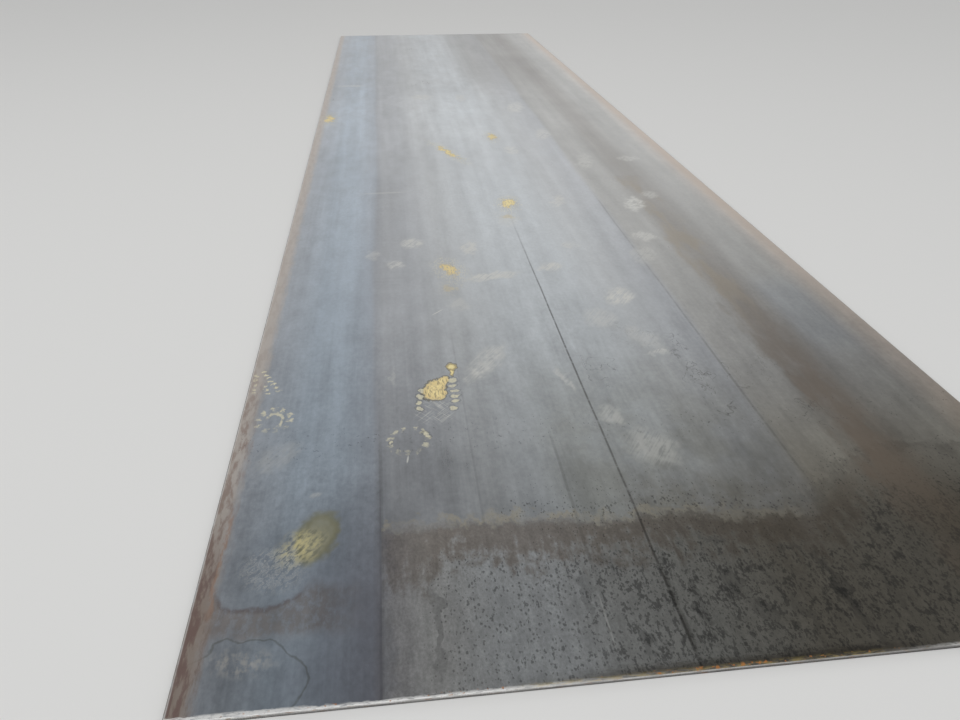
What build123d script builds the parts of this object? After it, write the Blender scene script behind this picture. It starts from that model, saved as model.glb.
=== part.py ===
"""Hot-rolled steel plate, cut to length by a shear.

The origin is the centre of the underside. +Y runs along the plate, +X across it and +Z up.
All sizes are in millimetres.
"""

from build123d import *
import os

# Stock size
plate_length = 6000
plate_width = 1500
plate_thickness = 8

# Long edges, left as the mill rolled them
mill_edge_bulge = 1.2
mill_edge_rounding = 1.5

# Ends, left as the shear cut them: rolled over, then burnished, then torn
rollover_width = 5
rollover_depth = 1
burnished_height = 2.5
tear_setback = 0.6

# Corners, worn round in plan: how far the wear reaches, and its bow as a share of that
corner_wear = 7
corner_wear_bow = 0.22

half_length = plate_length / 2
half_width = plate_width / 2
flat_half_width = half_width - mill_edge_bulge
burnished_top = plate_thickness - rollover_depth
burnished_bottom = burnished_top - burnished_height


# The near end in the YZ plane, from the top face down to the underside
rollover_curve = [
    (-half_length + rollover_width, plate_thickness),
    (-half_length + rollover_width / 3, plate_thickness - rollover_depth / 12),
    (-half_length, plate_thickness - rollover_depth / 3),
    (-half_length, burnished_top),
]
cut_face = [
    (-half_length, burnished_top),
    (-half_length, burnished_bottom),
    (-half_length + tear_setback, 0),
]


def other_end(points):
    """The same points at the far end: a shear leaves the two ends turned end for end and face for face."""
    return [(-y, plate_thickness - z) for y, z in points]


with BuildPart() as steel_plate:
    # Across the plate: two flat faces between convex rolled edges
    with BuildSketch(Plane.XZ.offset(-half_length)) as cross_section:
        with BuildLine():
            right_edge = ThreePointArc(
                (flat_half_width, 0),
                (half_width, plate_thickness / 2),
                (flat_half_width, plate_thickness),
            )
            left_edge = ThreePointArc(
                (-flat_half_width, plate_thickness),
                (-half_width, plate_thickness / 2),
                (-flat_half_width, 0),
            )
            Line(right_edge @ 1, left_edge @ 0)
            Line(left_edge @ 1, right_edge @ 0)
        make_face()
        fillet(cross_section.vertices(), radius=mill_edge_rounding)
    extrude(amount=plate_length)

    # Along the plate: the near end is rolled over at the top, and the far end at the underside
    with BuildSketch(Plane.YZ.offset(-half_width)) as length_section:
        with BuildLine():
            near_rollover = Bezier(*rollover_curve)
            near_face = Polyline(*cut_face)
            far_rollover = Bezier(*other_end(rollover_curve))
            far_face = Polyline(*other_end(cut_face))
            Line(near_face @ 1, far_rollover @ 0)
            Line(far_face @ 1, near_rollover @ 0)
        make_face()
    extrude(amount=plate_width, mode=Mode.INTERSECT)

    # In plan: each corner loses a small worn piece
    with BuildSketch() as corner_cut:
        with BuildLine():
            worn_edge = SagittaArc(
                (half_width - corner_wear, half_length),
                (half_width, half_length - corner_wear),
                sagitta=corner_wear * corner_wear_bow,
            )
            Polyline(
                worn_edge @ 1,
                (half_width + corner_wear, half_length - corner_wear),
                (half_width + corner_wear, half_length + corner_wear),
                (half_width - corner_wear, half_length + corner_wear),
                worn_edge @ 0,
            )
        make_face()
        mirror(about=Plane.YZ)
        mirror(about=Plane.XZ)
    extrude(amount=plate_thickness, mode=Mode.SUBTRACT)

steel_plate.part.label = "steel_plate"
os.makedirs("parts", exist_ok=True)
export_step(steel_plate.part, "parts/steel_plate.step")
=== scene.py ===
"""The looks of a hot-rolled steel plate: mill scale, shear-cut ends, rust, water stains and dirt.

Metres, in the frame of the CAD part: origin at the centre of the underside, +Y along the plate,
+X across it and +Z up. A place on the top face is (across, along): metres from the left edge and
metres from the near end.
"""

import math

import bpy
from mathutils import Matrix, Vector


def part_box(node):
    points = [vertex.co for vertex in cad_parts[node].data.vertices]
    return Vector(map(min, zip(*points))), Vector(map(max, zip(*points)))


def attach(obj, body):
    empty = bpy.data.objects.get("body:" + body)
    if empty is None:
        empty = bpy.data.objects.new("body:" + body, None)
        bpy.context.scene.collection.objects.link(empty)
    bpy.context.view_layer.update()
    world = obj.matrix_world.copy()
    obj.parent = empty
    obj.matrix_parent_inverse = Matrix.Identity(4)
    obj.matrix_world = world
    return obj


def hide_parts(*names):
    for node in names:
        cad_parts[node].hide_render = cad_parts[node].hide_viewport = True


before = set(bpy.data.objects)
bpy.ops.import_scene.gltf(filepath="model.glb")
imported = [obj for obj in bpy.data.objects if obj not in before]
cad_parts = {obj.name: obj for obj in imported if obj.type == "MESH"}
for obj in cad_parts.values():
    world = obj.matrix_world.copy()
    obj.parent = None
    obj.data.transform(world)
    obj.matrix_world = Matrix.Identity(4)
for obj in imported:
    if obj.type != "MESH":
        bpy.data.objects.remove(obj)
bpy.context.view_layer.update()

NODE = "steel_plate"
LOW, HIGH = (Vector(corner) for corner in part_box(NODE))
WIDTH, LENGTH, THICKNESS = HIGH - LOW

# Edges, as the CAD part has them
ROLLOVER_WIDTH = 0.005
ROLLOVER_DEPTH = 0.001
BURNISHED_HEIGHT = 0.0025
TEAR_SETBACK = 0.0006
CORNER_WEAR = 0.007

# The rolled edges from the underside up to half height: (inset, height)
MILL_EDGE = [(0.0021, 0.0), (0.0012, 0.0003), (0.0005, 0.0013), (0.0001, 0.0027), (0.0, 0.004)]

# The height of the top face's waves, and the bake map's bias: a smaller one gives the near end more room
FACE_WAVE = 0.00015
NEAR_DETAIL = 0.5

# The photograph's frame and camera, placed from the near left corner of the top face
IMAGE_WIDTH = 960
FOCAL_LENGTH_PIXELS = 775
SENSOR_WIDTH_MM = 36
CAMERA_ACROSS, CAMERA_ALONG, CAMERA_ABOVE = 0.333, -0.66, 0.905
CAMERA_TURN_RIGHT, CAMERA_TILT_DOWN, CAMERA_ROLL = 6.7, 30.5, 0.15

# Studio: places as azimuth and elevation in degrees, then outer and inner radius and strength
FLOOR_SIZE = 160.0
FLOOR_COLOUR = (0.8, 0.8, 0.79)
WALL_LEVEL = 0.75
PANEL = (14, 33, 25, 12, 1.0)
FLAG = (14, 60, 40, 14, 0.85)
SIDE_FLAG = (62, 30, 39, 5, 0.58)
LAMP_SIZE, LAMP_POWER, LAMP_DISTANCE = 3.5, 120, 8
LAMP_AZIMUTH, LAMP_ELEVATION = 200, 58

# Zones of the top face, each with only the marks that reach it: metres across, then metres along
ZONES = {
    "water_marked": ((0.0, 0.283), (0.0, 0.5)),
    "stained": ((0.283, 1.5), (0.0, 0.5)),
    "trodden": ((0.0, 1.5), (0.5, 1.1)),
    "scuffed": ((0.0, 1.5), (1.1, 2.2)),
    "far": ((0.0, 1.5), (2.2, 6.0)),
}

# Random textures: how far each seed shifts one, and how much further a ragged mark reaches than its size
SEED_STEP_ACROSS, SEED_STEP_ALONG = 7.31, 3.17
RAGGED_REACH = 1.3

# Mill scale: metalness, roughness, and its tones
SCALE_METAL, SCALE_ROUGHNESS = 0.8, 0.33
TAN = (0.44, 0.39, 0.35)
DULL_BLUE = (0.325, 0.35, 0.385)
BLUE = (0.32, 0.372, 0.428)
SLATE = (0.278, 0.308, 0.348)
SEAM = (0.264, 0.279, 0.303)
VIOLET_GREY = (0.295, 0.308, 0.326)
MID_GREY = (0.34, 0.355, 0.366)
# Partly painted reflection: the sheen along the middle of the plate
PALE_GREY = (0.37, 0.394, 0.412)
OLIVE_GREY = (0.27, 0.27, 0.262)
BROWN_GREY = (0.208, 0.2, 0.188)
WARM_GREY = (0.29, 0.29, 0.28)

# Wet-stained steel, from the left to the right
STAINED_SEAM = (0.18, 0.188, 0.202)
STAINED_GREY = (0.262, 0.265, 0.262)
STAINED_SLATE = (0.268, 0.28, 0.286)
SILT = (0.205, 0.21, 0.205)
DARK_SILT = (0.15, 0.15, 0.138)
BROWN_SILT = (0.1, 0.092, 0.074)
BLACK_SILT = (0.082, 0.07, 0.05)

# What lies on the scale
RUST = (0.155, 0.118, 0.086)
DARK_RUST = (0.15, 0.095, 0.085)
TAN_RUST = (0.33, 0.275, 0.195)
RED_RUST = (0.36, 0.2, 0.12)
ORANGE_RUST = (0.42, 0.17, 0.04)
CUT_RUST = (0.3, 0.14, 0.05)
LEFT_BORDER = (0.52, 0.47, 0.425)
RIGHT_BORDER = (0.52, 0.435, 0.36)
TIDE_TAN = (0.33, 0.3, 0.225)
SMEAR = (0.6, 0.6, 0.57)
YELLOW = (0.79, 0.63, 0.3)
BRIGHT_YELLOW = (0.95, 0.82, 0.42)
PALE_YELLOW = (0.56, 0.5, 0.26)
OCHRE = (0.48, 0.37, 0.13)
OLIVE = (0.25, 0.225, 0.085)
CREAM = (0.69, 0.65, 0.48)
POOL_DIRT = (0.42, 0.39, 0.33)
BARE_STEEL = (0.8, 0.8, 0.79)
# Bare steel painted paler as a highlight: the glint along the rolled-over arris
BARE_STEEL_GLINT = (0.94, 0.94, 0.925)
CUT_STEEL = (0.16, 0.155, 0.15)
TORN_STEEL = (0.11, 0.105, 0.1)
EDGE_SCALE = (0.3, 0.31, 0.32)

# What darkens the surface under it, as a multiplier
FILM_TINT = (0.67, 0.59, 0.53)
PIT_TINT = (0.3, 0.3, 0.3)
LINE_TINT = (0.45, 0.44, 0.43)
DUSK_TINT = (0.55, 0.53, 0.55)
DULL_TINT = (0.78, 0.76, 0.7)
WARM_TINT = (0.98, 0.93, 0.82)
COOL_TINT = (0.9, 0.94, 1.0)
DRIP_TINT = (0.4, 0.4, 0.4)
FAR_TINT = (0.66, 0.64, 0.62)
BORDER_TINT = (0.67, 0.58, 0.55)
CORNER_TINT = (0.62, 0.57, 0.54)
PRINT_RIM_TINT = (0.45, 0.41, 0.3)
PRINT_GAP_TINT = (0.6, 0.54, 0.38)
OLIVE_RIM_TINT = (0.66, 0.62, 0.4)
VEIN_GAP_TINT = (0.6, 0.58, 0.48)
POOL_TINT = (0.86, 0.87, 0.88)
BETWEEN_POOLS_TINT = (0.62, 0.53, 0.47)
UPPER_POOL_LINE = (0.58, 0.46, 0.42)
LOWER_POOL_LINE = (0.5, 0.48, 0.4)
TIDE_DARK_TINT = (0.74, 0.7, 0.65)
STAIN_SIDE_TINT = (0.78, 0.77, 0.8)
DULLED_ARRIS_TINT = (0.42, 0.39, 0.35)

# Mill scale's tone across the plate, from metres off the left edge. The pale grey band in the middle is
# partly painted reflection, a sheen along the plate
SCALE_BANDS = [
    (0.0, TAN),
    (0.04, DULL_BLUE),
    (0.13, BLUE),
    (0.2, BLUE),
    (0.27, SLATE),
    (0.28, SEAM),
    (0.3, VIOLET_GREY),
    (0.37, VIOLET_GREY),
    (0.47, MID_GREY),
    (0.62, PALE_GREY),
    (0.8, PALE_GREY),
    (0.91, MID_GREY),
    (1.05, VIOLET_GREY),
    (1.07, OLIVE_GREY),
    (1.16, OLIVE_GREY),
    (1.22, BROWN_GREY),
    (1.27, BROWN_GREY),
    (1.34, OLIVE_GREY),
    (1.41, WARM_GREY),
    (1.5, TAN),
]

# The same for the wet-stained end
STAIN_BANDS = [
    (0.28, STAINED_SEAM),
    (0.31, STAINED_GREY),
    (0.37, STAINED_GREY),
    (0.45, STAINED_SLATE),
    (0.54, STAINED_SLATE),
    (0.63, SILT),
    (0.77, DARK_SILT),
    (0.92, BROWN_SILT),
    (1.15, BROWN_SILT),
    (1.25, BLACK_SILT),
    (1.5, BROWN_SILT),
]

# How far up from the near end the water stood: metres from the left edge, and metres along
TIDE = [(0.28, 0.335), (0.56, 0.334), (0.66, 0.318), (0.8, 0.325)]
TIDE += [(0.92, 0.299), (1.03, 0.306), (1.1, 0.36)]

# Long dark drips below the tide line: centre, half sizes, turn in degrees and strength
DRIPS = [
    ((0.987, 0.1), (0.0115, 0.115), 0, 1.0),
    ((0.82, 0.145), (0.015, 0.052), -12, 0.8),
    ((0.755, 0.12), (0.011, 0.055), 0, 0.75),
    ((0.85, 0.085), (0.009, 0.045), 0, 0.7),
    ((0.657, 0.055), (0.01, 0.026), 15, 0.8),
    ((0.597, 0.155), (0.009, 0.04), 0, 0.55),
    ((0.64, 0.205), (0.016, 0.03), 0, 0.5),
    ((0.905, 0.07), (0.008, 0.05), 5, 0.6),
    ((1.065, 0.11), (0.011, 0.06), 0, 0.55),
    ((0.364, 0.125), (0.009, 0.1), 0, 0.6),
]

# The longest straight line, pressed in by the mill: its place, half width, depth and end
MAIN_LINE, MAIN_LINE_HALF_WIDTH, MAIN_LINE_DEPTH, MAIN_LINE_END = 0.7215, 0.0027, 0.00012, 1.8

# Straight dark lines: metres from the left edge, from and to along, half width and strength
ROLL_LINES = [
    (0.457, 0.25, 0.95, 0.0032, 0.2),
    (0.616, 0.22, 0.5, 0.004, 0.35),
    (0.283, 0.02, 0.5, 0.005, 0.3),
    (0.7235, 0.08, 0.14, 0.0062, 0.75),
    (0.31, 1.25, 2.2, 0.06, 0.22),
    (1.058, 0.45, 1.9, 0.004, 0.45),
]

# Pale dusty scuffs: centre, half sizes, turn in degrees and strength
SMEARS = [
    ((0.085, 0.545), (0.038, 0.068), -38, 0.3),
    ((0.167, 0.431), (0.016, 0.009), 0, 0.5),
    ((0.528, 0.862), (0.036, 0.092), -32, 0.62),
    ((0.495, 0.8), (0.014, 0.05), -35, 0.4),
    ((0.314, 0.81), (0.005, 0.05), 0, 0.3),
    ((0.69, 0.765), (0.013, 0.06), 8, 0.5),
    ((0.754, 0.615), (0.028, 0.04), 20, 0.5),
    ((0.807, 0.5), (0.055, 0.07), 15, 0.5),
    ((0.92, 0.925), (0.036, 0.08), 25, 0.3),
    ((0.933, 0.856), (0.036, 0.015), 0, 0.6),
    ((0.84, 1.04), (0.05, 0.06), 0, 0.4),
    ((0.922, 1.158), (0.042, 0.062), -28, 0.95),
    ((0.6, 1.325), (0.09, 0.03), 12, 0.85),
    ((0.775, 1.368), (0.04, 0.04), 0, 0.85),
    ((0.558, 1.545), (0.03, 0.06), -12, 0.75),
    ((0.385, 1.597), (0.04, 0.045), -30, 0.8),
    ((0.33, 1.432), (0.03, 0.035), 0, 0.65),
    ((0.266, 1.512), (0.022, 0.04), 0, 0.4),
    ((0.912, 1.935), (0.028, 0.07), -15, 0.65),
    ((1.175, 1.88), (0.038, 0.085), -18, 1.0),
    ((1.255, 1.97), (0.035, 0.05), -18, 0.5),
    ((1.115, 1.575), (0.042, 0.05), 0, 0.65),
    ((1.07, 1.43), (0.04, 0.08), -20, 0.35),
    ((0.865, 1.53), (0.03, 0.03), 0, 0.4),
    ((0.49, 1.16), (0.03, 0.045), 0, 0.35),
    ((0.71, 1.76), (0.04, 0.06), 0, 0.35),
    ((0.99, 3.4), (0.045, 0.14), -12, 0.6),
    ((0.73, 3.65), (0.03, 0.1), 0, 0.5),
    ((0.13, 4.03), (0.1, 0.03), -4, 0.5),
    ((1.12, 2.4), (0.035, 0.13), -10, 0.4),
    ((1.03, 2.855), (0.04, 0.11), -8, 0.55),
    ((0.85, 2.6), (0.032, 0.07), 0, 0.6),
    ((1.308, 2.425), (0.05, 0.04), 0, 0.45),
    ((0.52, 3.69), (0.06, 0.08), 0, 0.55),
]

# Thin pale scratches: centre, half sizes, turn in degrees and strength
SCRATCHES = [
    ((0.6105, 0.095), (0.002, 0.065), 0, 0.22),
    ((0.334, 0.514), (0.0022, 0.014), -8, 0.9),
    ((0.431, 1.118), (0.0022, 0.028), -45, 0.8),
    ((0.3, 2.09), (0.105, 0.011), 2, 0.28),
]

# The clearest yellow print, as overlapping ovals: centre, half sizes and turn in degrees
PRINT_SOLE = [
    ((0.4, 0.752), (0.0235, 0.041), -16),
    ((0.417, 0.78), (0.013, 0.026), -28),
    ((0.409, 0.735), (0.0155, 0.025), -8),
]
PRINT_TOE = [
    ((0.444, 0.843), (0.012, 0.017), 0),
    ((0.4435, 0.819), (0.005, 0.017), 0),
]
PRINT_LUGS = [
    ((0.3725, 0.75), (0.007, 0.01), 20),
    ((0.367, 0.727), (0.007, 0.011), 25),
    ((0.3645, 0.705), (0.006, 0.008), 5),
    ((0.364, 0.682), (0.007, 0.009), 30),
    ((0.441, 0.786), (0.0105, 0.011), -25),
    ((0.439, 0.763), (0.0105, 0.005), 10),
    ((0.4425, 0.7425), (0.0105, 0.005), 0),
    ((0.442, 0.722), (0.01, 0.006), 8),
    ((0.441, 0.703), (0.0085, 0.006), 8),
    ((0.435, 0.677), (0.0075, 0.0095), 15),
    ((0.3035, 0.571), (0.0032, 0.0055), 0),
    ((0.374, 0.59), (0.0055, 0.011), 25),
]

# Yellow dust beyond it, in ragged spots: centre, half sizes, turn in degrees and strength
DUST = [
    ((0.484, 1.385), (0.03, 0.058), 15, 0.44),
    ((0.472, 1.258), (0.022, 0.03), 0, 0.16),
    ((0.735, 1.93), (0.025, 0.05), -8, 0.9),
    ((0.715, 1.8), (0.03, 0.03), 0, 0.18),
    ((0.576, 2.6), (0.02, 0.12), 20, 0.65),
    ((0.792, 2.83), (0.022, 0.06), 0, 0.6),
    ((0.05, 3.24), (0.026, 0.09), 0, 0.6),
]

# Wet patches with a dark dried rim: centre, half sizes and turn in degrees
DRIED_PATCHES = [
    ((0.992, 0.7), (0.022, 0.12), 4),
    ((0.775, 0.8), (0.026, 0.045), -10),
    ((1.068, 0.74), (0.012, 0.055), 0),
    ((1.174, 0.56), (0.018, 0.07), 0),
]

# Single patches: centre, half sizes and turn in degrees
PUDDLE = ((1.3, 0.1), (0.34, 0.355))
UPPER_POOL = ((0.098, 0.262), (0.078, 0.09))
LOWER_POOL = ((0.092, 0.05), (0.086, 0.074), -12)
POOL_SCUFFS = ((0.09, 0.084), (0.05, 0.026), -8)
OLIVE_STAIN = ((0.177, 0.324), (0.038, 0.066), -12)
OLD_PRINT = ((0.15, 0.3), (0.038, 0.054), -32)
VEIN_TRAIL = ((0.112, 0.256), (0.062, 0.052), -38)
HATCHING = ((0.395, 0.668), (0.045, 0.05), -20)

# Where thin crooked lines show how a wet patch dried: centre, half sizes, turn in degrees and strength
VEINED = [
    ((0.99, 0.79), (0.022, 0.19), 0, 0.85),
    ((0.77, 0.78), (0.045, 0.05), 0, 0.8),
    ((1.15, 0.76), (0.05, 0.07), 0, 0.45),
    ((1.175, 0.58), (0.03, 0.06), 0, 0.6),
    ((0.9, 0.93), (0.045, 0.09), 25, 0.5),
]

# Rows of faint lug prints: centre, half width and half length, turn in degrees, number of lugs, strength
LUG_ROWS = [
    ((0.012, 0.818), (0.0055, 0.044), 2, 5, 0.65),
    ((0.045, 0.828), (0.0066, 0.054), 27, 7, 0.85),
    ((0.0395, 0.793), (0.0064, 0.024), 14, 3, 0.8),
]

# Rings of them, with their most uneven step: centre, half sizes, turn, lugs, inner and outer radius, strength
MOST_UNEVEN = 6.0
LUG_RINGS = [
    ((0.338, 0.574), (0.041, 0.046), -20, 11, 0.8, 1.0, 0.6),
    ((0.069, 0.674), (0.037, 0.043), 0, 10, 0.76, 1.0, 0.7),
    ((0.068, 0.668), (0.019, 0.034), -6, 1, 0.78, 1.0, 0.65),
]


class Field:
    """A number or vector that varies over a surface: a shader node's output, with arithmetic."""

    def __init__(self, graph, socket):
        self.graph = graph
        self.socket = socket

    def combine(self, operation, first, second):
        return self.graph.field("Math", {0: first, 1: second}, operation=operation)

    def __add__(self, other):
        return self.combine("ADD", self, other)

    def __sub__(self, other):
        return self.combine("SUBTRACT", self, other)

    def __rsub__(self, other):
        return self.combine("SUBTRACT", other, self)

    def __mul__(self, other):
        return self.combine("MULTIPLY", self, other)

    __radd__ = __add__
    __rmul__ = __mul__

    def highest(self, other):
        return self.combine("MAXIMUM", self, other)

    def lowest(self, other):
        return self.combine("MINIMUM", self, other)

    def off(self, value):
        """How far the number is from value, either way."""
        return self.combine("ABSOLUTE", self - value, 0.0)

    def sine(self):
        return self.combine("SINE", self, 0.0)

    def swing(self, reach):
        """Turns a random texture into one about 0, mostly within reach / 2 of it."""
        return (self - 0.5) * reach

    def ramp(self, start, end, low=0.0, high=1.0):
        """Goes smoothly from low at start to high at end, and stays there. start may be above end."""
        inputs = {"Value": self, "From Min": start, "From Max": end, "To Min": low, "To Max": high}
        return self.graph.field("MapRange", inputs, interpolation_type="SMOOTHSTEP")

    def band(self, start, end, soft):
        """1 between start and end, fading to 0 over soft on each side."""
        return self.ramp(start - soft, start) * self.ramp(end + soft, end)


class Graph:
    """A material's or the world's node tree, with a short way to add each kind of node."""

    def __init__(self, owner):
        owner.use_nodes = True
        self.tree = owner.node_tree
        self.tree.nodes.clear()

    def add(self, kind, inputs, **settings):
        node = self.tree.nodes.new("ShaderNode" + kind)
        for name, value in settings.items():
            setattr(node, name, value)
        for key, value in inputs.items():
            self.feed(node.inputs[key], value)
        return node

    def feed(self, socket, value):
        if isinstance(value, Field):
            self.tree.links.new(value.socket, socket)
        elif socket.type == "RGBA":
            socket.default_value = (*value, 1.0)
        else:
            socket.default_value = value

    def field(self, kind, inputs, output=0, **settings):
        """Adds a node and gives one of its outputs."""
        return Field(self, self.add(kind, inputs, **settings).outputs[output])

    def show(self, kind, inputs, output="OutputMaterial"):
        """Adds the last shader and sends it to the tree's output."""
        shader = self.add(kind, inputs)
        self.tree.links.new(shader.outputs[0], self.add(output, {}).inputs["Surface"])

    def vector(self, operation, first, second=(0.0, 0.0, 0.0)):
        output = "Value" if operation in ("LENGTH", "DOT_PRODUCT") else "Vector"
        return self.field("VectorMath", {0: first, 1: second}, output, operation=operation)

    def parts(self, vector):
        node = self.add("SeparateXYZ", {0: vector})
        return [Field(self, output) for output in node.outputs]

    def scale(self, colour, factor):
        return self.field("VectorMath", {0: colour, "Scale": factor}, operation="SCALE")

    def mix(self, amount, under, over, how="MIX"):
        """Lays the colour over on the colour under."""
        inputs = {"Factor": amount, 6: under, 7: over}
        return self.field("Mix", inputs, 2, data_type="RGBA", blend_type=how)

    def tint(self, amount, under, over):
        """Multiplies the colour under by the colour over."""
        return self.mix(amount, under, over, "MULTIPLY")

    def blend(self, amount, under, over):
        """Lays the number over on the number under."""
        return self.field("Mix", {"Factor": amount, 2: under, 3: over}, data_type="FLOAT")

    def spread(self, place, size, seed):
        """The place counted in a texture's spots. size is one spot's, and each seed has other spots."""
        shift = (seed * SEED_STEP_ACROSS, seed * SEED_STEP_ALONG, 0.0)
        inputs = {0: place, 1: (1 / size[0], 1 / size[1], 0.0), 2: shift}
        return self.field("VectorMath", inputs, operation="MULTIPLY_ADD")

    def noise(self, place, size, seed, detail=2.0, grain=0.5, output=0):
        """Smooth random numbers about 0.5. size is one spot's, across and along. detail counts the finer
        layers over the spots, and grain is how strong each is beside the one before."""
        inputs = {"Vector": self.spread(place, size, seed), "Scale": 1.0}
        inputs.update({"Detail": detail, "Roughness": grain})
        return self.field("TexNoise", inputs, output, noise_dimensions="2D")

    def cells(self, place, size, seed):
        """Distance to the nearest of scattered spots, in cells, and that spot's own random number."""
        inputs = {"Vector": self.spread(place, size, seed), "Scale": 1.0}
        node = self.add("TexVoronoi", inputs, voronoi_dimensions="2D", feature="F1")
        return Field(self, node.outputs["Distance"]), self.parts(Field(self, node.outputs["Color"]))[0]

    def wander(self, place, size, reach, seed):
        """The place pushed about by up to half of reach, so that what is drawn there gets ragged."""
        push = self.noise(place, (size, size), seed, output="Color")
        inputs = {0: push, 1: (reach, reach, 0.0), 2: place}
        pushed = self.field("VectorMath", inputs, operation="MULTIPLY_ADD")
        return self.vector("SUBTRACT", pushed, (reach / 2, reach / 2, 0.0))

    def across_ramp(self, across, stops):
        """The colour at each place across the plate, smoothly between the stops."""
        node = self.add("ValToRGB", {"Fac": across * (1 / WIDTH)})
        ramp = node.color_ramp.elements
        while len(ramp) < len(stops):
            ramp.new(0.5)
        for stop, (place_across, colour) in zip(ramp, stops):
            stop.position = place_across / WIDTH
            stop.color = (*colour, 1.0)
        return Field(self, node.outputs["Color"])

    def local(self, place, centre=(0.0, 0.0), size=(1.0, 1.0), turn=0.0):
        """The place in an oval's own frame, where its rim is 1 from the centre. turn is in degrees."""
        inputs = {"Vector": place, "Location": (*centre, 0.0), "Scale": (*size, 1.0)}
        inputs["Rotation"] = (0.0, 0.0, math.radians(turn))
        return self.field("Mapping", inputs, vector_type="TEXTURE")

    def oval(self, place, centre, size, turn=0.0):
        """0 at an oval's centre and 1 at its rim."""
        return self.vector("LENGTH", self.local(place, centre, size, turn))

    def ovals(self, place, shapes):
        """The same for overlapping ovals, taken as one shape."""
        distance = self.oval(place, *shapes[0])
        for shape in shapes[1:]:
            distance = distance.lowest(self.oval(place, *shape))
        return distance

    def marks(self, place, table, start, end, uneven=None):
        """A table's ovals, each from 0 at start to its strength at end, with uneven rims if given."""
        amount = 0.0
        for centre, size, turn, strength in table:
            distance = self.oval(place, centre, size, turn)
            if uneven is not None:
                distance = distance + uneven
            amount = distance.ramp(start, end) * strength + amount
        return amount


class Finish:
    """A surface's colour, metalness, roughness and height, painted over layer by layer."""

    def __init__(self, graph, colour, metal, roughness, zone=None):
        self.graph = graph
        self.colour = colour
        self.metal = metal
        self.roughness = roughness
        self.height = 0.0
        self.zone = zone

    def reaches(self, centre, radius):
        """Whether a mark with that radius touches this zone of the plate."""
        return all(low - radius < place < high + radius for place, (low, high) in zip(centre, self.zone))

    def near(self, table):
        """The table's marks that touch this zone."""
        return [mark for mark in table if self.reaches(mark[0], max(mark[1]) * RAGGED_REACH)]

    def paint(self, amount, colour=None, metal=None, roughness=None):
        if colour is not None:
            self.colour = self.graph.mix(amount, self.colour, colour)
        if metal is not None:
            self.metal = self.graph.blend(amount, self.metal, metal)
        if roughness is not None:
            self.roughness = self.graph.blend(amount, self.roughness, roughness)

    def tint(self, amount, colour, metal=None, roughness=None):
        self.colour = self.graph.tint(amount, self.colour, colour)
        self.paint(amount, None, metal, roughness)

    def shade(self, change):
        """Lightens the colour by that share of itself, or darkens it where the share is below 0."""
        self.colour = self.graph.scale(self.colour, change + 1.0)

    def raise_by(self, amount, height):
        """Lifts the surface where amount is above 0. The height is in metres."""
        self.height = amount * height + self.height

    def connect(self):
        inputs = {"Base Color": self.colour, "Metallic": self.metal, "Roughness": self.roughness}
        if isinstance(self.height, Field):
            bump = {"Height": self.height, "Strength": 1.0, "Distance": 1.0}
            inputs["Normal"] = self.graph.field("Bump", bump)
        self.graph.show("BsdfPrincipled", inputs)


def make_camera():
    data = bpy.data.cameras.new("camera")
    data.sensor_width = SENSOR_WIDTH_MM
    data.lens = FOCAL_LENGTH_PIXELS / IMAGE_WIDTH * SENSOR_WIDTH_MM
    data.clip_end = FLOOR_SIZE
    camera = bpy.data.objects.new("camera", data)
    place = Vector((LOW.x + CAMERA_ACROSS, LOW.y + CAMERA_ALONG, HIGH.z + CAMERA_ABOVE))
    turn = Matrix.Rotation(math.radians(-CAMERA_TURN_RIGHT), 4, "Z")
    tilt = Matrix.Rotation(math.radians(90 - CAMERA_TILT_DOWN), 4, "X")
    roll = Matrix.Rotation(math.radians(CAMERA_ROLL), 4, "Z")
    camera.matrix_world = Matrix.Translation(place) @ turn @ tilt @ roll
    bpy.context.collection.objects.link(camera)
    bpy.context.scene.camera = camera


def direction(azimuth, elevation):
    """A direction in the row frame. Azimuth 0 is +Y and 90 is +X."""
    azimuth, elevation = math.radians(azimuth), math.radians(elevation)
    level = math.cos(elevation)
    return Vector((math.sin(azimuth) * level, math.cos(azimuth) * level, math.sin(elevation)))


def spot(graph, ray, azimuth, elevation, outer, inner, strength):
    """strength within inner degrees of a direction, fading to 0 at outer degrees."""
    towards = graph.vector("DOT_PRODUCT", ray, direction(azimuth, elevation))
    return towards.ramp(math.cos(math.radians(outer)), math.cos(math.radians(inner))) * strength


def make_world():
    """A pale studio: light walls, a brighter panel past the far end, and dark flags above and beside it."""
    world = bpy.data.worlds.new("studio")
    bpy.context.scene.world = world
    graph = Graph(world)
    ray = graph.vector("NORMALIZE", graph.field("TexCoord", {}, "Generated"))
    level = spot(graph, ray, *PANEL) + WALL_LEVEL
    level = level * (1 - spot(graph, ray, *FLAG)) * (1 - spot(graph, ray, *SIDE_FLAG))
    graph.show("Background", {"Strength": level, "Color": (1.0, 1.0, 1.0)}, "OutputWorld")


def make_lamp():
    """One large soft lamp above and behind the camera, for a direction to the shadows."""
    data = bpy.data.lights.new("soft_lamp", "AREA")
    data.shape = "SQUARE"
    data.size = LAMP_SIZE
    data.energy = LAMP_POWER
    lamp = bpy.data.objects.new("soft_lamp", data)
    lamp.location = direction(LAMP_AZIMUTH, LAMP_ELEVATION) * LAMP_DISTANCE
    lamp.rotation_euler = (-lamp.location).to_track_quat("-Z", "Y").to_euler()
    lamp.visible_camera = False
    lamp.visible_glossy = False
    bpy.context.collection.objects.link(lamp)


def make_floor():
    mesh = bpy.data.meshes.new("floor")
    half = FLOOR_SIZE / 2
    corners = [(-half, -half, LOW.z), (half, -half, LOW.z), (half, half, LOW.z), (-half, half, LOW.z)]
    mesh.from_pydata(corners, [], [(0, 1, 2, 3)])
    floor = bpy.data.objects.new("floor", mesh)
    bpy.context.collection.objects.link(floor)
    material = bpy.data.materials.new("pale_floor")
    Graph(material).show("BsdfDiffuse", {"Color": FLOOR_COLOUR})
    mesh.materials.append(material)


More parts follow.
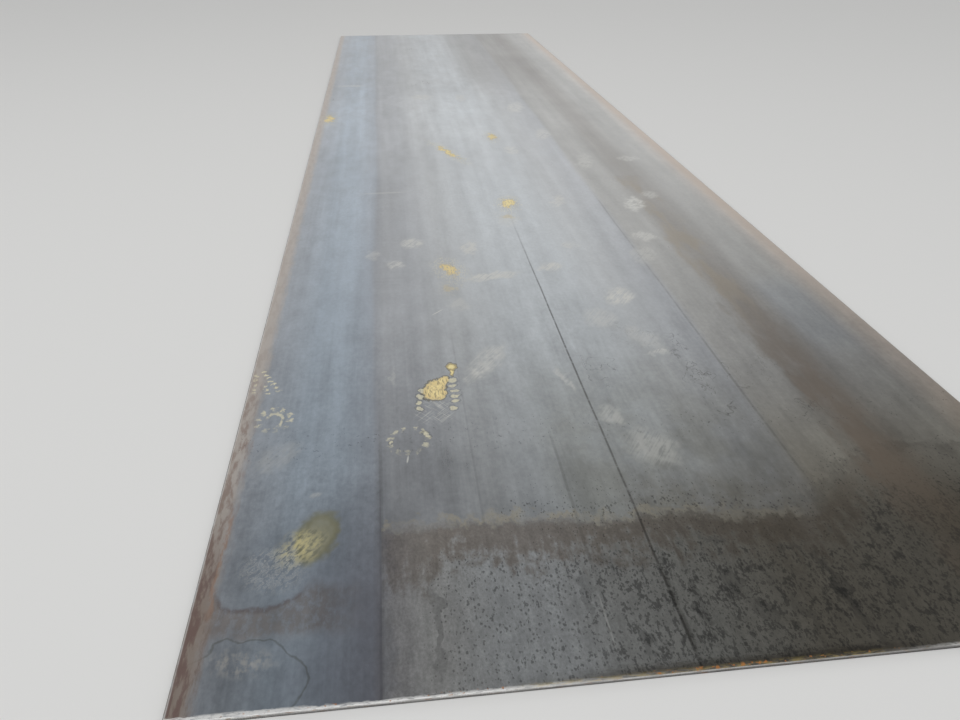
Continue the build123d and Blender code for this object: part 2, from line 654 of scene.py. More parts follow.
def place_on_plate(graph):
    """(across, along) on the plate as a vector, then its two numbers."""
    place = graph.vector("SUBTRACT", graph.field("TexCoord", {}, "Object"), LOW)
    across, along, _ = graph.parts(place)
    return place, across, along


def scale_colour(graph, place, across):
    """The mill scale's tone, in bands along the rolling direction."""
    sway = graph.noise(place, (0.12, 0.9), 1, detail=1.0)
    return graph.across_ramp(across + sway.swing(0.022), SCALE_BANDS)


def paint_streaks(finish, place):
    """Fine streaks along the rolling direction, cloudy patches, smudges and a fine mottle."""
    graph = finish.graph
    broad = graph.noise(place, (0.045, 1.1), 2)
    fine = graph.noise(place, (0.009, 0.45), 3, detail=3.0, grain=0.6)
    cloud = graph.noise(place, (0.22, 0.3), 4, detail=3.0)
    smudge = graph.noise(place, (0.06, 0.13), 35, detail=5.0, grain=0.65)
    tone = broad.swing(0.34) + fine.swing(0.21) + cloud.swing(0.34) + smudge.swing(0.62)
    finish.shade(tone)
    gloss = cloud.swing(0.12) + fine.swing(0.1) + smudge.swing(0.1)
    finish.roughness = gloss + SCALE_ROUGHNESS
    if finish.zone != ZONES["far"]:
        mottle = graph.noise(place, (0.01, 0.014), 5, detail=4.0, grain=0.65)
        finish.shade(mottle.swing(0.3))


def paint_broad_tints(finish, place, across, along):
    """Broad tints: darker in patches towards the near end between about 0.65 and 1 m across, warmer on the
    right towards the near end, cooler in a short band on the right, and patchy lighter and darker tones over
    the far end.
    """
    graph = finish.graph
    if finish.reaches((0.85, 0.65), 0.3):
        patchy = graph.noise(place, (0.1, 0.12), 36, detail=4.0, grain=0.6).ramp(0.3, 0.62, 0.55, 1.0)
        finish.tint(along.ramp(1.0, 0.42) * across.band(0.66, 0.99, 0.12) * patchy, DULL_TINT)
    if finish.reaches((1.2, 0.4), 0.4):
        finish.tint(across.ramp(0.98, 1.1) * along.ramp(0.8, 0.35), WARM_TINT)
    if finish.reaches((1.36, 1.0), 0.3):
        finish.tint(across.band(1.33, 1.41, 0.05) * along.band(0.92, 1.12, 0.18), COOL_TINT)
    if finish.zone == ZONES["far"]:
        smear = graph.noise(place, (0.12, 0.42), 37, detail=4.0, grain=0.62)
        finish.shade(smear.swing(along.ramp(2.4, 3.6, 0.15, 0.4)))
        finish.tint(across.band(0.88, 1.18, 0.16) * along.ramp(3.5, 4.5) * 0.9, FAR_TINT)
        finish.shade(along.band(3.0, 3.5, 0.5) * across.ramp(0.85, 0.7) * 0.13)


def paint_right_rust(finish, place, across, along):
    """The rust-brown streak on the right, strongest near the stained end."""
    graph = finish.graph
    ragged = graph.noise(place, (0.06, 0.16), 6, detail=5.0, grain=0.6)
    wander = across + ragged.swing(0.12)
    amount = wander.band(1.205, 1.255, 0.045) * along.ramp(1.5, 0.5, 0.06, 0.7)
    amount = amount * along.ramp(0.16, 0.44, 0.3, 1.0)
    finish.paint(amount * ragged.ramp(0.3, 0.6, 0.4, 1.0), RUST, metal=0.45, roughness=0.45)
    patchy = graph.noise(place, (0.04, 0.18), 52, detail=3.0)
    tan = wander.band(1.205, 1.245, 0.03) * along.band(1.25, 2.0, 0.35) * patchy.ramp(0.35, 0.6, 0.1, 1.0)
    finish.paint(tan * 0.4, TAN_RUST, metal=0.5, roughness=0.45)


def paint_borders(finish, place, across, along):
    """Tan and red-brown rust along the long edges, darker near the stained end on the left."""
    graph = finish.graph
    ragged = graph.noise(place, (0.012, 0.05), 12, detail=5.0, grain=0.7)
    patchy = graph.noise(place, (0.014, 0.06), 29, detail=4.0, grain=0.65)
    left = (across + ragged.swing(0.03)).ramp(0.044, 0.018)
    finish.paint(left * 0.75, LEFT_BORDER, metal=0.5, roughness=0.45)
    finish.tint(left * patchy.ramp(0.4, 0.64) * along.ramp(1.0, 0.6, 0.25, 0.95), BORDER_TINT)
    if finish.reaches((0.02, 0.2), 0.2):
        finish.tint(left * along.ramp(0.49, 0.2), CORNER_TINT)
        dark = (across + ragged.swing(0.03)).band(0.0, 0.016, 0.014) * along.ramp(0.42, 0.22)
        finish.paint(dark * patchy.ramp(0.42, 0.6) * 0.7, DARK_RUST, metal=0.2, roughness=0.6)
        red = (across + ragged.swing(0.02) - 0.0275).off(0.0).ramp(0.006, 0.001)
        red = red * along.band(0.2, 0.36, 0.06) * patchy.ramp(0.38, 0.55)
        finish.paint(red * 0.4, RED_RUST, metal=0.2, roughness=0.6)
    # Bare steel along the left arris: partly wear, partly a painted highlight along the rounded edge
    arris = across.ramp(0.0048, 0.0026) * ragged.ramp(0.3, 0.55, 0.3, 1.0)
    finish.paint(arris * 0.6, BARE_STEEL, metal=0.8, roughness=0.35)
    right = (across + ragged.swing(0.035)).ramp(1.44, 1.485)
    finish.paint(right * along.ramp(0.4, 2.0, 0.05, 0.65), RIGHT_BORDER, metal=0.5, roughness=0.45)


def paint_roll_lines(finish, place, across, along):
    """Straight dark lines left by the mill."""
    graph = finish.graph
    wander = graph.noise(place, (0.5, 0.35), 14)
    broken = graph.noise(place, (0.5, 0.028), 15, detail=3.0, grain=0.7)
    shifted = across + wander.swing(0.006)
    depth = broken.ramp(0.3, 0.5, 0.45, 1.0)
    for line_across, start, end, width, strength in ROLL_LINES:
        if finish.reaches((line_across, (start + end) / 2), (end - start) / 2 + 0.12):
            line = (shifted - line_across).off(0.0).ramp(width, width * 0.3) * along.band(start, end, 0.12)
            finish.tint(line * depth * strength, LINE_TINT)
    if finish.reaches((MAIN_LINE, 1.0), 1.0):
        main = (shifted - MAIN_LINE).off(0.0).ramp(0.003, 0.001) * along.ramp(1.95, 1.0)
        finish.tint(main * depth, LINE_TINT, metal=0.5, roughness=0.45)


def paint_smears(finish, place):
    """Pale dusty scuffs with diagonal strokes in them."""
    graph = finish.graph
    ragged = graph.wander(place, 0.035, 0.04, 16)
    amount = graph.marks(ragged, finish.near(SMEARS), 1.15, 0.45)
    diagonal = graph.local(place, turn=-35)
    strokes = graph.noise(diagonal, (0.005, 0.07), 17, detail=3.0, grain=0.6)
    soft = graph.noise(place, (0.022, 0.03), 44, detail=3.0, grain=0.6)
    amount = amount * (strokes * 0.9 + soft * 0.8).ramp(0.58, 1.0, 0.18, 1.0)
    finish.paint(amount, SMEAR, metal=0.45, roughness=0.45)


def paint_dust(finish, place):
    """Spots of yellow dust, ragged and broken."""
    graph = finish.graph
    ragged = graph.wander(place, 0.04, 0.04, 18)
    broken = graph.noise(place, (0.012, 0.028), 19, detail=4.0, grain=0.7)
    amount, halo = 0.0, 0.0
    for centre, size, turn, strength in finish.near(DUST):
        distance = graph.oval(ragged, centre, size, turn) + broken.swing(1.5)
        amount = distance.ramp(1.05, 0.3) * strength + amount
        halo = distance.ramp(2.1, 1.0) * strength + halo
    veins = graph.noise(place, (0.005, 0.012), 54, detail=3.0, grain=0.6)
    finish.paint(halo.lowest(1.0) * veins.ramp(0.48, 0.6) * 0.85, CREAM, metal=0.2, roughness=0.55)
    finish.paint(amount.ramp(0.0, 0.5) * veins.ramp(0.32, 0.5, 0.35, 1.0), YELLOW, metal=0.1, roughness=0.6)
    finish.paint(amount.ramp(0.3, 0.8) * veins.ramp(0.4, 0.56, 0.1, 0.9), BRIGHT_YELLOW)


def paint_print(finish, place):
    """The clearest print of a lugged sole: yellow dust, cream lugs round it and a dark rim."""
    graph = finish.graph
    ragged = graph.wander(place, 0.01, 0.01, 45)
    rough = graph.noise(place, (0.004, 0.016), 46, detail=3.0, grain=0.6)
    lugs = graph.ovals(ragged, PRINT_LUGS)
    finish.tint(lugs.off(1.2).ramp(0.28, 0.05) * 0.45, LINE_TINT)
    sole = graph.ovals(ragged, PRINT_SOLE) + rough.swing(0.35)
    toe = graph.ovals(ragged, PRINT_TOE)
    finish.tint(sole.lowest(toe).off(1.06).ramp(0.15, 0.03) * 0.75, PRINT_RIM_TINT)
    finish.paint(lugs.ramp(1.08, 0.75) * rough.ramp(0.3, 0.52, 0.5, 0.9), CREAM, metal=0.15, roughness=0.55)
    finish.paint(toe.ramp(1.05, 0.85) * 0.75, OCHRE, metal=0.1, roughness=0.6)
    finish.paint(toe.ramp(0.75, 0.4) * 0.9, BRIGHT_YELLOW)
    finish.paint(sole.ramp(1.05, 0.88) * rough.ramp(0.34, 0.56, 0.6, 1.0), YELLOW, metal=0.1, roughness=0.6)
    finish.paint(sole.ramp(0.9, 0.3) * rough.ramp(0.46, 0.62) * 0.7, BRIGHT_YELLOW)
    finish.tint(sole.ramp(1.0, 0.7) * rough.ramp(0.44, 0.34) * 0.65, PRINT_GAP_TINT)


def paint_faint_prints(finish, place):
    """The other prints of the same sole: broken rows and rings of small lugs."""
    graph = finish.graph
    ragged = graph.wander(place, 0.012, 0.013, 47)
    uneven_step = graph.noise(place, (0.02, 0.02), 48)
    worn = graph.noise(place, (0.016, 0.016), 49, detail=4.0, grain=0.7)
    prints = 0.0
    for centre, size, turn, lugs, strength in LUG_ROWS:
        x, y, _ = graph.parts(graph.local(ragged, centre, size, turn))
        lug = (y * (math.pi * lugs) + uneven_step * 5.0).sine().ramp(-0.15, 0.3)
        prints = x.off(0.0).ramp(1.1, 0.6) * y.off(0.0).ramp(1.05, 0.95) * lug * strength + prints
    for centre, size, turn, lugs, inner, outer, strength in LUG_RINGS:
        local = graph.local(ragged, centre, size, turn)
        x, y, _ = graph.parts(local)
        distance = graph.vector("LENGTH", local)
        lug = x.combine("ARCTAN2", y, x) * lugs + uneven_step * min(MOST_UNEVEN, lugs)
        lug = distance.band(inner, outer, 0.1) * lug.sine().ramp(-0.3, 0.25)
        prints = lug * y.ramp(-1.1, -0.3, 0.35, 1.0) * strength + prints
    finish.paint(prints * worn.ramp(0.38, 0.56, 0.15, 1.2), CREAM, metal=0.15, roughness=0.55)


def paint_scratches(finish, place):
    """Thin pale scratches one by one."""
    amount = finish.graph.marks(place, finish.near(SCRATCHES), 1.0, 0.5)
    finish.paint(amount, SMEAR, metal=0.4, roughness=0.5)


def paint_hatching(finish, place):
    """Short pale scratches crossing each other between the prints."""
    graph = finish.graph
    where = graph.oval(place, *HATCHING).ramp(1.1, 0.6)
    amount = 0.0
    for turn in (-42, 38):
        turned = graph.local(place, turn=turn)
        amount = graph.noise(turned, (0.004, 0.06), 24 + turn).ramp(0.58, 0.66) * where + amount
    finish.paint(amount * 0.5, SMEAR, metal=0.4, roughness=0.5)


def paint_squiggles(finish, place):
    """Thin crooked lines where a wet patch dried."""
    graph = finish.graph
    ragged = graph.wander(place, 0.05, 0.09, 21)
    amount = 0.0
    for patch in DRIED_PATCHES:
        amount = graph.oval(ragged, *patch).off(1.0).ramp(0.1, 0.03) + amount
    broken = graph.noise(place, (0.03, 0.03), 22).ramp(0.42, 0.55)
    specks = graph.noise(place, (0.007, 0.01), 50, detail=3.0, grain=0.65)
    finish.tint(amount * broken * specks.ramp(0.4, 0.55, 0.3, 1.0) * 0.6, LINE_TINT)
    coast = graph.noise(place, (0.06, 0.1), 53, detail=5.0, grain=0.65).off(0.5).ramp(0.014, 0.004)
    veined = graph.marks(ragged, VEINED, 1.1, 0.7)
    finish.tint(veined * coast * specks.ramp(0.36, 0.5, 0.2, 1.0), LINE_TINT)
    _, along, _ = graph.parts(place)
    few = specks.ramp(0.64, 0.7) * broken * along.band(0.56, 0.6, 0.06)
    finish.tint(few * 0.6, PIT_TINT)


def paint_water_marks(finish, place, across, along):
    """Dried pools by the near left corner, and the dusky band that divides them from the stain."""
    graph = finish.graph
    slow = graph.noise(place, (0.05, 0.1), 25, detail=4.0, grain=0.6)
    fine = graph.noise(place, (0.012, 0.02), 26, detail=5.0, grain=0.7)
    dusk = (across + slow.swing(0.09) + fine.swing(0.04)).ramp(0.09, 0.262) * along.ramp(0.54, 0.15)
    finish.tint(dusk * 0.95, DUSK_TINT, metal=0.6, roughness=0.4)
    ragged = graph.wander(place, 0.05, 0.03, 20)
    upper = graph.oval(ragged, *UPPER_POOL)
    lower = graph.oval(ragged, *LOWER_POOL)
    sideways, lengthways, _ = graph.parts(ragged)
    finish.tint(upper.ramp(1.0, 0.5), POOL_TINT)
    between = lengthways.band(0.14, 0.195, 0.035) * sideways.band(0.03, 0.19, 0.09)
    between = between * upper.ramp(0.94, 1.06) * lower.ramp(0.94, 1.06)
    finish.tint(between * fine.ramp(0.3, 0.6, 0.4, 1.0), BETWEEN_POOLS_TINT, metal=0.5, roughness=0.5)
    drying = (upper + fine.swing(0.12)).off(1.0).ramp(0.085, 0.005) * along.ramp(0.225, 0.195)
    finish.tint(drying * fine.ramp(0.3, 0.55, 0.35, 1.0) * 0.75, UPPER_POOL_LINE)
    drying = (lower + fine.swing(0.06)).off(1.0).ramp(0.038, 0.004)
    finish.tint(drying * slow.ramp(0.3, 0.5, 0.4, 1.0) * 0.6, LOWER_POOL_LINE)
    scuffs = graph.oval(place, *POOL_SCUFFS).ramp(1.3, 0.4) * fine.ramp(0.42, 0.62)
    finish.paint(scuffs * 0.45, POOL_DIRT, metal=0.4, roughness=0.5)
    finish.shade(fine.swing(0.42))


def paint_yellow_print(finish, place):
    """The oldest print: an olive stain, veined yellow dust on it, and pale veins trailing from it."""
    graph = finish.graph
    ragged = graph.wander(place, 0.022, 0.02, 30)
    turned = graph.local(place, turn=-35)
    veins = graph.noise(turned, (0.0065, 0.018), 27, detail=4.0, grain=0.65)
    olive = graph.oval(ragged, *OLIVE_STAIN)
    finish.paint(olive.ramp(1.15, 0.65) * 0.6, OLIVE, metal=0.3, roughness=0.45)
    finish.tint(olive.off(0.8).ramp(0.26, 0.02) * 0.45, OLIVE_RIM_TINT)
    yellow = graph.oval(ragged, *OLD_PRINT).ramp(1.2, 0.2)
    finish.paint(yellow * veins.ramp(0.38, 0.62, 0.12, 0.9), PALE_YELLOW, metal=0.25, roughness=0.5)
    finish.tint(yellow.ramp(0.0, 0.4) * veins.ramp(0.45, 0.36) * 0.5, VEIN_GAP_TINT)
    trail = graph.oval(ragged, *VEIN_TRAIL).ramp(1.15, 0.55)
    pale = veins.off(0.52).ramp(0.04, 0.01) * trail + veins.ramp(0.55, 0.66) * trail * 0.6
    finish.paint(pale * 0.45, SMEAR, metal=0.4, roughness=0.45)


def tide_level(graph, across):
    """How far from the near end the water stood, across the plate."""
    curve = graph.add("FloatCurve", {"Value": across * (1 / WIDTH)})
    points = curve.mapping.curves[0].points
    while len(points) < len(TIDE):
        points.new(0.5, 0.5)
    for point, (place_across, level) in zip(points, TIDE):
        point.location = (place_across / WIDTH, level)
    curve.mapping.update()
    return Field(graph, curve.outputs[0])


def paint_stain(finish, place, across, along):
    """The wet end: dulled scale up to a ragged tide line, with a film of silt and rust hanging from it."""
    graph = finish.graph
    ragged = graph.noise(place, (0.055, 0.045), 7, detail=4.0, grain=0.6)
    islands = graph.noise(place, (0.026, 0.04), 8, detail=5.0, grain=0.68)
    drips = graph.noise(place, (0.014, 0.08), 11, detail=3.0, grain=0.6)
    shore = tide_level(graph, across) + ragged.swing(0.03) + islands.swing(0.045)
    below = shore - along
    lit = across.ramp(0.262, 0.298)
    # Darker from the near end to about 0.17 m above the tide line, about 0.65 to 1.15 m across
    tide_darkening = below.ramp(-0.17, 0.01) * lit * islands.ramp(0.25, 0.65, 0.45, 1.0) * along.ramp(0.5, 0.44)
    tide_darkening = tide_darkening * across.band(0.78, 1.0, 0.14)
    finish.tint(tide_darkening, TIDE_DARK_TINT)
    crooked = graph.wander(place, 0.04, 0.045, 51)
    puddle = graph.oval(crooked, *PUDDLE) + islands.swing(0.2)
    right = puddle.ramp(1.05, 0.91) * along.ramp(0.43, 0.27, 0.32, 1.0) * along.ramp(0.5, 0.47)
    wet = graph.blend(across.ramp(0.97, 1.06), below.ramp(-0.02, 0.03), right) * lit
    stain = graph.across_ramp(across + ragged.swing(0.05), STAIN_BANDS)
    tone = drips.swing(0.45) + islands.swing(0.65) + 1.0
    finish.paint(wet, graph.scale(stain, tone), metal=0.5, roughness=0.42)
    hang = below + drips.swing(0.1) + islands.swing(0.18) - across.ramp(0.42, 0.31, 0.0, 0.055)
    hang = hang - across.band(0.45, 0.56, 0.04) * 0.02
    film = wet * hang.ramp(0.12, 0.045) * below.ramp(-0.01, 0.03) * across.ramp(0.42, 0.31, 1.0, 0.72)
    finish.tint(film * across.ramp(0.7, 1.05, 1.0, 0.75), FILM_TINT, metal=0.4, roughness=0.48)
    dark = graph.marks(crooked, DRIPS, 1.0, 0.7, islands.swing(1.5))
    dark = dark.lowest(1.0) * (islands + drips).ramp(0.86, 1.1, 0.4, 1.0)
    finish.tint(dark * wet, DRIP_TINT, metal=0.35, roughness=0.5)
    finish.tint(wet * across.ramp(0.355, 0.305) * 0.8, STAIN_SIDE_TINT)
    line = (below + islands.swing(0.06)).off(0.002).ramp(0.017, 0.001) * lit
    line = line * across.ramp(1.08, 0.96) * across.ramp(0.6, 0.92, 1.2, 0.5)
    finish.paint(line * ragged.ramp(0.38, 0.6, 0.14, 0.5), TIDE_TAN, metal=0.3, roughness=0.55)
    rim = puddle.off(0.98).ramp(0.06, 0.01) * along.ramp(0.3, 0.36) * along.ramp(0.49, 0.46)
    finish.tint(rim * drips.ramp(0.35, 0.6, 0.2, 1.0) * 0.4, LINE_TINT)
    return wet, below, islands


def pits(graph, place, size, amount, ragged, seed):
    """Scattered ragged spots, more and larger where amount is nearer 1."""
    distance, luck = graph.cells(place, size, seed)
    radius = amount * luck.ramp(0.3, 1.0, 0.0, 0.66)
    spot = (radius - distance + ragged.swing(1.3)).ramp(0.0, 0.22) * luck.ramp(0.35, 0.85, 0.45, 1.0)
    return spot * amount.ramp(0.02, 0.12)


def paint_pits(finish, place, across, along, wet, below, islands):
    """Dark pits and blotches: dense below the tide line, sparse for a hand's width above it."""
    graph = finish.graph
    mottle = graph.noise(place, (0.0045, 0.0065), 10, detail=4.0, grain=0.7)
    finish.shade(wet * mottle.swing(0.8))
    dense = wet * below.ramp(0.045, 0.13) * across.ramp(0.315, 0.4)
    shore = below.off(-0.018).ramp(0.055, 0.005) * across.band(0.52, 0.96, 0.08) * 0.7
    sparse = below.ramp(-0.17, -0.01) * across.ramp(0.44, 0.58) * along.ramp(0.5, 0.45) * 0.45
    amount = dense.highest(shore).highest(sparse) * (islands + mottle).ramp(0.8, 1.12, 0.25, 1.0)
    fine = pits(graph, place, (0.0052, 0.0084), amount * across.ramp(0.46, 0.62, 0.72, 1.0), mottle, 9)
    blots = graph.noise(place, (0.0085, 0.019), 13, detail=4.0, grain=0.7)
    coarse = (amount * across.ramp(0.5, 0.68, 0.13, 0.26) + blots).ramp(0.742, 0.787)
    spots = fine.highest(coarse * amount.ramp(0.02, 0.12))
    finish.tint(spots * 0.85, PIT_TINT, metal=0.35, roughness=0.55)
    blotch = (islands + mottle.swing(0.35)).ramp(0.56, 0.66) * wet * below.ramp(0.03, 0.1)
    finish.tint(blotch * across.ramp(0.56, 0.76) * 0.65, PIT_TINT, metal=0.35, roughness=0.5)
    finish.raise_by(mottle.swing(along.ramp(0.34, 0.28)), 0.0003)


def paint_rollover(finish, place, across, along):
    """Bare steel where the shear rolled the near arris over, with a painted highlight on it, and specks of
    fresh rust.
    """
    graph = finish.graph
    worn = graph.noise(place, (0.02, 0.004), 28, detail=4.0, grain=0.7)
    # Painted highlight: the bare band is wider on the left, and painted paler and less metallic than bare
    # steel, most on the left and again on the right, for the glint of light along the arris
    reach = across.ramp(0.24, 0.1, 0.0, 0.0035) + 0.0036
    bare = (along + worn.swing(0.01) - reach).ramp(0.0014, -0.0014)
    bright = across.ramp(0.85, 0.4, 0.15, 1.0) + across.ramp(1.02, 1.12, 0.0, 0.4)
    finish.paint(bare * bright * worn.ramp(0.34, 0.54, 0.4, 1.0), BARE_STEEL_GLINT, metal=0.45, roughness=0.3)
    dulled = (along + worn.swing(0.02)).ramp(0.022, 0.006)
    finish.tint(across.ramp(0.42, 0.7) * across.ramp(1.1, 0.94) * dulled * 0.95, DULLED_ARRIS_TINT)
    gilt = (along + worn.swing(0.016)).ramp(0.009, 0.003) * worn.ramp(0.42, 0.62)
    finish.paint(across.band(0.5, 0.95, 0.06) * gilt * 0.45, OCHRE, metal=0.4, roughness=0.5)
    specks = graph.noise(place, (0.009, 0.006), 23, detail=3.0, grain=0.6)
    rusty = across.band(0.67, 0.81, 0.04).highest(across.band(0.36, 0.38, 0.01) * 0.8)
    rust = (specks + rusty * 0.1).ramp(0.66, 0.74) * along.ramp(0.008, 0.003)
    finish.paint(rust * 0.85, ORANGE_RUST, metal=0.0, roughness=0.8)


def top_finish(name, zone):
    material = bpy.data.materials.new("mill_scale_" + name)
    graph = Graph(material)
    place, across, along = place_on_plate(graph)
    finish = Finish(graph, scale_colour(graph, place, across), SCALE_METAL, SCALE_ROUGHNESS, zone)
    paint_streaks(finish, place)
    paint_broad_tints(finish, place, across, along)
    if name == "stained":
        paint_pits(finish, place, across, along, *paint_stain(finish, place, across, along))
    if name == "water_marked":
        paint_water_marks(finish, place, across, along)
        paint_yellow_print(finish, place)
    if finish.reaches((1.23, 0.75), 0.75):
        paint_right_rust(finish, place, across, along)
    paint_borders(finish, place, across, along)
    paint_roll_lines(finish, place, across, along)
    if name == "trodden":
        paint_squiggles(finish, place)
        paint_hatching(finish, place)
    paint_smears(finish, place)
    if name == "trodden":
        paint_faint_prints(finish, place)
        paint_print(finish, place)
    if name in ("scuffed", "far"):
        paint_dust(finish, place)
    if name in ("stained", "trodden", "scuffed"):
        paint_scratches(finish, place)
    if finish.reaches((0.75, 0.0), 0.75):
        paint_rollover(finish, place, across, along)
    finish.connect()
    return material


def sheared_finish():
    """The cut ends: a bright burnished land over a dull torn face, scored by the blade. The land is painted
    paler towards the left, as a sheen of light.
    """
    material = bpy.data.materials.new("sheared_steel")
    graph = Graph(material)
    place, across, _ = place_on_plate(graph)
    _, _, up = graph.parts(place)
    face = graph.field("CombineXYZ", {0: across, 1: up})
    patches = graph.noise(face, (0.06, 0.004), 32, detail=3.0)
    # Painted sheen: the land is painted paler towards the left, as light falling on the cut face, and patchy
    # all along
    bright = across.ramp(1.15, 0.45, 0.35, 1.0) * patches.ramp(0.3, 0.6, 0.6, 1.0)
    finish = Finish(graph, CUT_STEEL, 0.7, 0.5)
    finish.paint(bright, BARE_STEEL, metal=0.95, roughness=0.32)
    land = THICKNESS - ROLLOVER_DEPTH - BURNISHED_HEIGHT
    grains = graph.noise(face, (0.0011, 0.0009), 33)
    torn = up.ramp(land, land - 0.0004)
    finish.paint(torn * grains.ramp(0.3, 0.6, 0.35, 0.85), TORN_STEEL, metal=0.6, roughness=0.6)
    rust = graph.noise(face, (0.02, 0.003), 34, detail=3.0).ramp(0.62, 0.72)
    finish.paint(rust * 0.6, CUT_RUST, metal=0.0, roughness=0.8)
    scores = graph.noise(face, (0.0012, 0.012), 31, detail=3.0, grain=0.6)
    finish.shade(scores.swing(0.7))
    finish.raise_by(scores - 0.5, 0.00008)
    finish.connect()
    return material


def mill_edge_finish():
    """The rolled edges and the underside: plain scale, dull, with light rust along the edges."""
    material = bpy.data.materials.new("mill_scale_edge")
    graph = Graph(material)
    place, across, _ = place_on_plate(graph)
    streaks = graph.noise(place, (0.02, 0.9), 41, detail=3.0)
    cloud = graph.noise(place, (0.25, 0.35), 42, detail=4.0)
    finish = Finish(graph, EDGE_SCALE, 0.75, 0.42)
    finish.shade(streaks.swing(0.3) + cloud.swing(0.3))
    spots = graph.noise(place, (0.01, 0.03), 43, detail=4.0, grain=0.65)
    side = across.off(WIDTH / 2).ramp(WIDTH / 2 - 0.01, WIDTH / 2 - 0.003)
    rust = (side * 0.2 + spots + cloud * 0.15).ramp(0.66, 0.8)
    finish.paint(rust * 0.7, RUST, metal=0.2, roughness=0.65)
    finish.connect()
    return material


def stretches(stops):
    """Places from stop to stop. Each stop is (place, spacing up to it), and the first has no spacing."""
    places = [stops[0][0]]
    for (start, _), (end, spacing) in zip(stops, stops[1:]):
        steps = max(1, round((end - start) / spacing))
        places += [start + (end - start) * step / steps for step in range(1, steps + 1)]
    return places


# The lattice's places along and across, in closer steps over the arrises and the pressed-in line
ROWS = [0.0, 0.00015, 0.0006, 0.0013, 0.0023, 0.0036, 0.0052, 0.0075, 0.0105, 0.015]
ROWS += stretches([(0.022, None), (0.5, 0.0125), (1.1, 0.015), (2.2, 0.022), (LENGTH - 0.01, 0.06)])
ROWS += [LENGTH - inset for inset in (0.005, 0.0036, 0.0023, 0.0013, 0.0006, 0.0)]
COLUMNS = [0.0, 0.0035, 0.006]
COLUMNS += stretches([
    (0.012, None),
    (0.283, 0.0105),
    (MAIN_LINE - 0.0075, 0.0105),
    (MAIN_LINE + 0.0075, 0.0018),
    (WIDTH - 0.012, 0.0105),
])
COLUMNS += [WIDTH - 0.006, WIDTH - 0.0035, WIDTH]


def side_profile():
    """(inset, height) up the rolled edge, from the underside to the top face."""
    return MILL_EDGE + [(inset, THICKNESS - height) for inset, height in reversed(MILL_EDGE[:-1])]


def cut_profile():
    """(inset, height) up the near end's cut face, from the underside to the rolled-over arris."""
    top = THICKNESS - ROLLOVER_DEPTH
    land = top - BURNISHED_HEIGHT
    torn = [(TEAR_SETBACK * (1 - part), land * part) for part in (0.0, 0.2, 0.4, 0.6, 0.8, 1.0)]
    return torn + [(0.0, land + BURNISHED_HEIGHT * part) for part in (0.4, 0.8, 1.0)]


def uneven(value, *waves):
    """A smooth wandering number between -1 and 1: waves are (length, phase)."""
    return sum(math.sin(math.tau * value / length + phase) for length, phase in waves) / len(waves)


def rollover_drop(distance, across):
    """How far the face has rolled down at that distance from the cut end."""
    spread = 1 + 0.9 * max(0.0, 1 - across / 0.32)
    spread += 0.12 * uneven(across, (0.21, 0.3), (0.083, 1.9), (0.037, 4.0))
    width = ROLLOVER_WIDTH * spread
    if distance >= width:
        return 0.0
    return ROLLOVER_DEPTH * (1 - math.sqrt(1 - (1 - distance / width) ** 2))


def face_dip(across, along):
    """The top face's slight waves and its rolled-in line, as a depth below flat."""
    waves = 1 + uneven(along, (1.31, 0.4), (0.83, 2.2), (0.47, 5.0)) * uneven(across, (1.9, 0.8), (0.7, 3.0))
    groove = max(0.0, 1 - abs(across - MAIN_LINE) / MAIN_LINE_HALF_WIDTH) if along < MAIN_LINE_END else 0.0
    return FACE_WAVE * waves + MAIN_LINE_DEPTH * groove


def worn_corner(across, along):
    """Rounds the lattice's square corners in plan."""
    near_side = min(across, WIDTH - across)
    near_end = min(along, LENGTH - along)
    if near_side >= CORNER_WEAR or near_end >= CORNER_WEAR:
        return across, along
    out_side, out_end = CORNER_WEAR - near_side, CORNER_WEAR - near_end
    pull = max(out_side, out_end) / math.hypot(out_side, out_end)
    side, end = CORNER_WEAR - out_side * pull, CORNER_WEAR - out_end * pull
    return (side if across < WIDTH / 2 else WIDTH - side), (end if along < LENGTH / 2 else LENGTH - end)


def lattice_point(column, row, level, side, cut):
    """Where a point of the box lattice lies on the real plate."""
    across, along = COLUMNS[column], ROWS[row]
    top = len(side) - 1
    height = THICKNESS * level / top
    if column in (0, len(COLUMNS) - 1):
        inset, height = side[level]
        across = inset if column == 0 else WIDTH - inset
    if row == 0:
        inset, height = cut[level]
        along = inset
    elif row == len(ROWS) - 1:
        inset, height = cut[top - level]
        along, height = LENGTH - inset, THICKNESS - height
    elif level == top:
        height = THICKNESS - rollover_drop(along, across)
        if column not in (0, len(COLUMNS) - 1):
            height -= face_dip(across, along) * min(1.0, along / 0.05)
    elif level == 0:
        height = rollover_drop(LENGTH - along, WIDTH)
    across, along = worn_corner(across, along)
    return (LOW.x + across, LOW.y + along, LOW.z + height)


def zone_at(across, along):
    """The number of the zone that a place on the top face is in."""
    for number, ((left, right), (near, far)) in enumerate(ZONES.values()):
        if left <= across < right and near <= along < far:
            return number
    raise ValueError("a place lies in no zone")


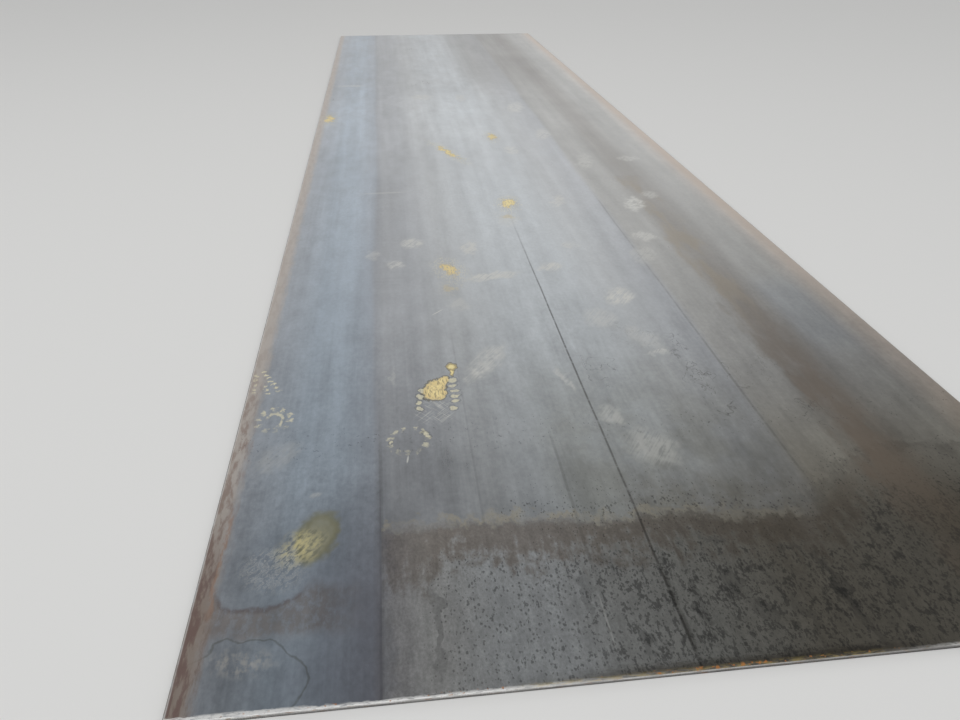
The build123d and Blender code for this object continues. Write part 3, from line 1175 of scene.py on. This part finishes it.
def make_plate():
    """The plate's whole skin, as the six sides of a box lattice, each side a grid of quads."""
    materials = [top_finish(name, zone) for name, zone in ZONES.items()]
    materials += [sheared_finish(), mill_edge_finish()]
    cut_end, plain = len(ZONES), len(ZONES) + 1
    side, cut = side_profile(), cut_profile()
    last = (len(COLUMNS) - 1, len(ROWS) - 1, len(side) - 1)
    across = [column / WIDTH for column in COLUMNS]
    along = [row / LENGTH for row in ROWS]
    near_first = [math.log1p(row / NEAR_DETAIL) / math.log1p(LENGTH / NEAR_DETAIL) for row in ROWS]
    up = [level / last[2] for level in range(last[2] + 1)]
    numbers, points, faces, finishes, maps = {}, [], [], [], []

    def number(key):
        if key not in numbers:
            numbers[key] = len(points)
            points.append(lattice_point(*key, side, cut))
        return numbers[key]

    def grid(fixed, value, us, vs, strip, flip, finish=None):
        first, second = [axis for axis in range(3) if axis != fixed]
        for a in range(last[first]):
            for b in range(last[second]):
                corners, spots = [], []
                for c, d in ((a, b), (a + 1, b), (a + 1, b + 1), (a, b + 1)):
                    key = [0, 0, 0]
                    key[fixed], key[first], key[second] = value, c, d
                    corners.append(number(tuple(key)))
                    spots.append((0.002 + 0.996 * us[c], strip[0] + (strip[1] - strip[0]) * vs[d]))
                faces.append(corners[::-1] if flip else corners)
                maps.extend(spots[::-1] if flip else spots)
                finishes.append(zone_at(COLUMNS[a], ROWS[b]) if finish is None else finish)

    # Each side of the lattice, with the strip of the bake map that it fills
    grid(2, last[2], across, near_first, (0.122, 0.998), False)
    grid(2, 0, across, along, (0.053, 0.118), True, plain)
    grid(1, 0, across, up, (0.003, 0.013), False, cut_end)
    grid(1, last[1], across, up, (0.017, 0.025), True, cut_end)
    grid(0, 0, along, up, (0.029, 0.037), True, plain)
    grid(0, last[0], along, up, (0.041, 0.049), False, plain)
    mesh = bpy.data.meshes.new("plate_skin")
    mesh.from_pydata(points, [], faces)
    for material in materials:
        mesh.materials.append(material)
    mesh.polygons.foreach_set("material_index", finishes)
    mesh.polygons.foreach_set("use_smooth", [True] * len(faces))
    mesh.set_sharp_from_angle(angle=math.radians(40))
    bake_map = mesh.uv_layers.new(name="OFBake")
    bake_map.data.foreach_set("uv", [value for spot in maps for value in spot])
    plate = bpy.data.objects.new("plate_skin", mesh)
    bpy.context.collection.objects.link(plate)
    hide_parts(NODE)
    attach(plate, "root")


make_camera()
make_world()
make_lamp()
make_floor()
make_plate()

bpy.context.scene.view_settings.view_transform = "Standard"
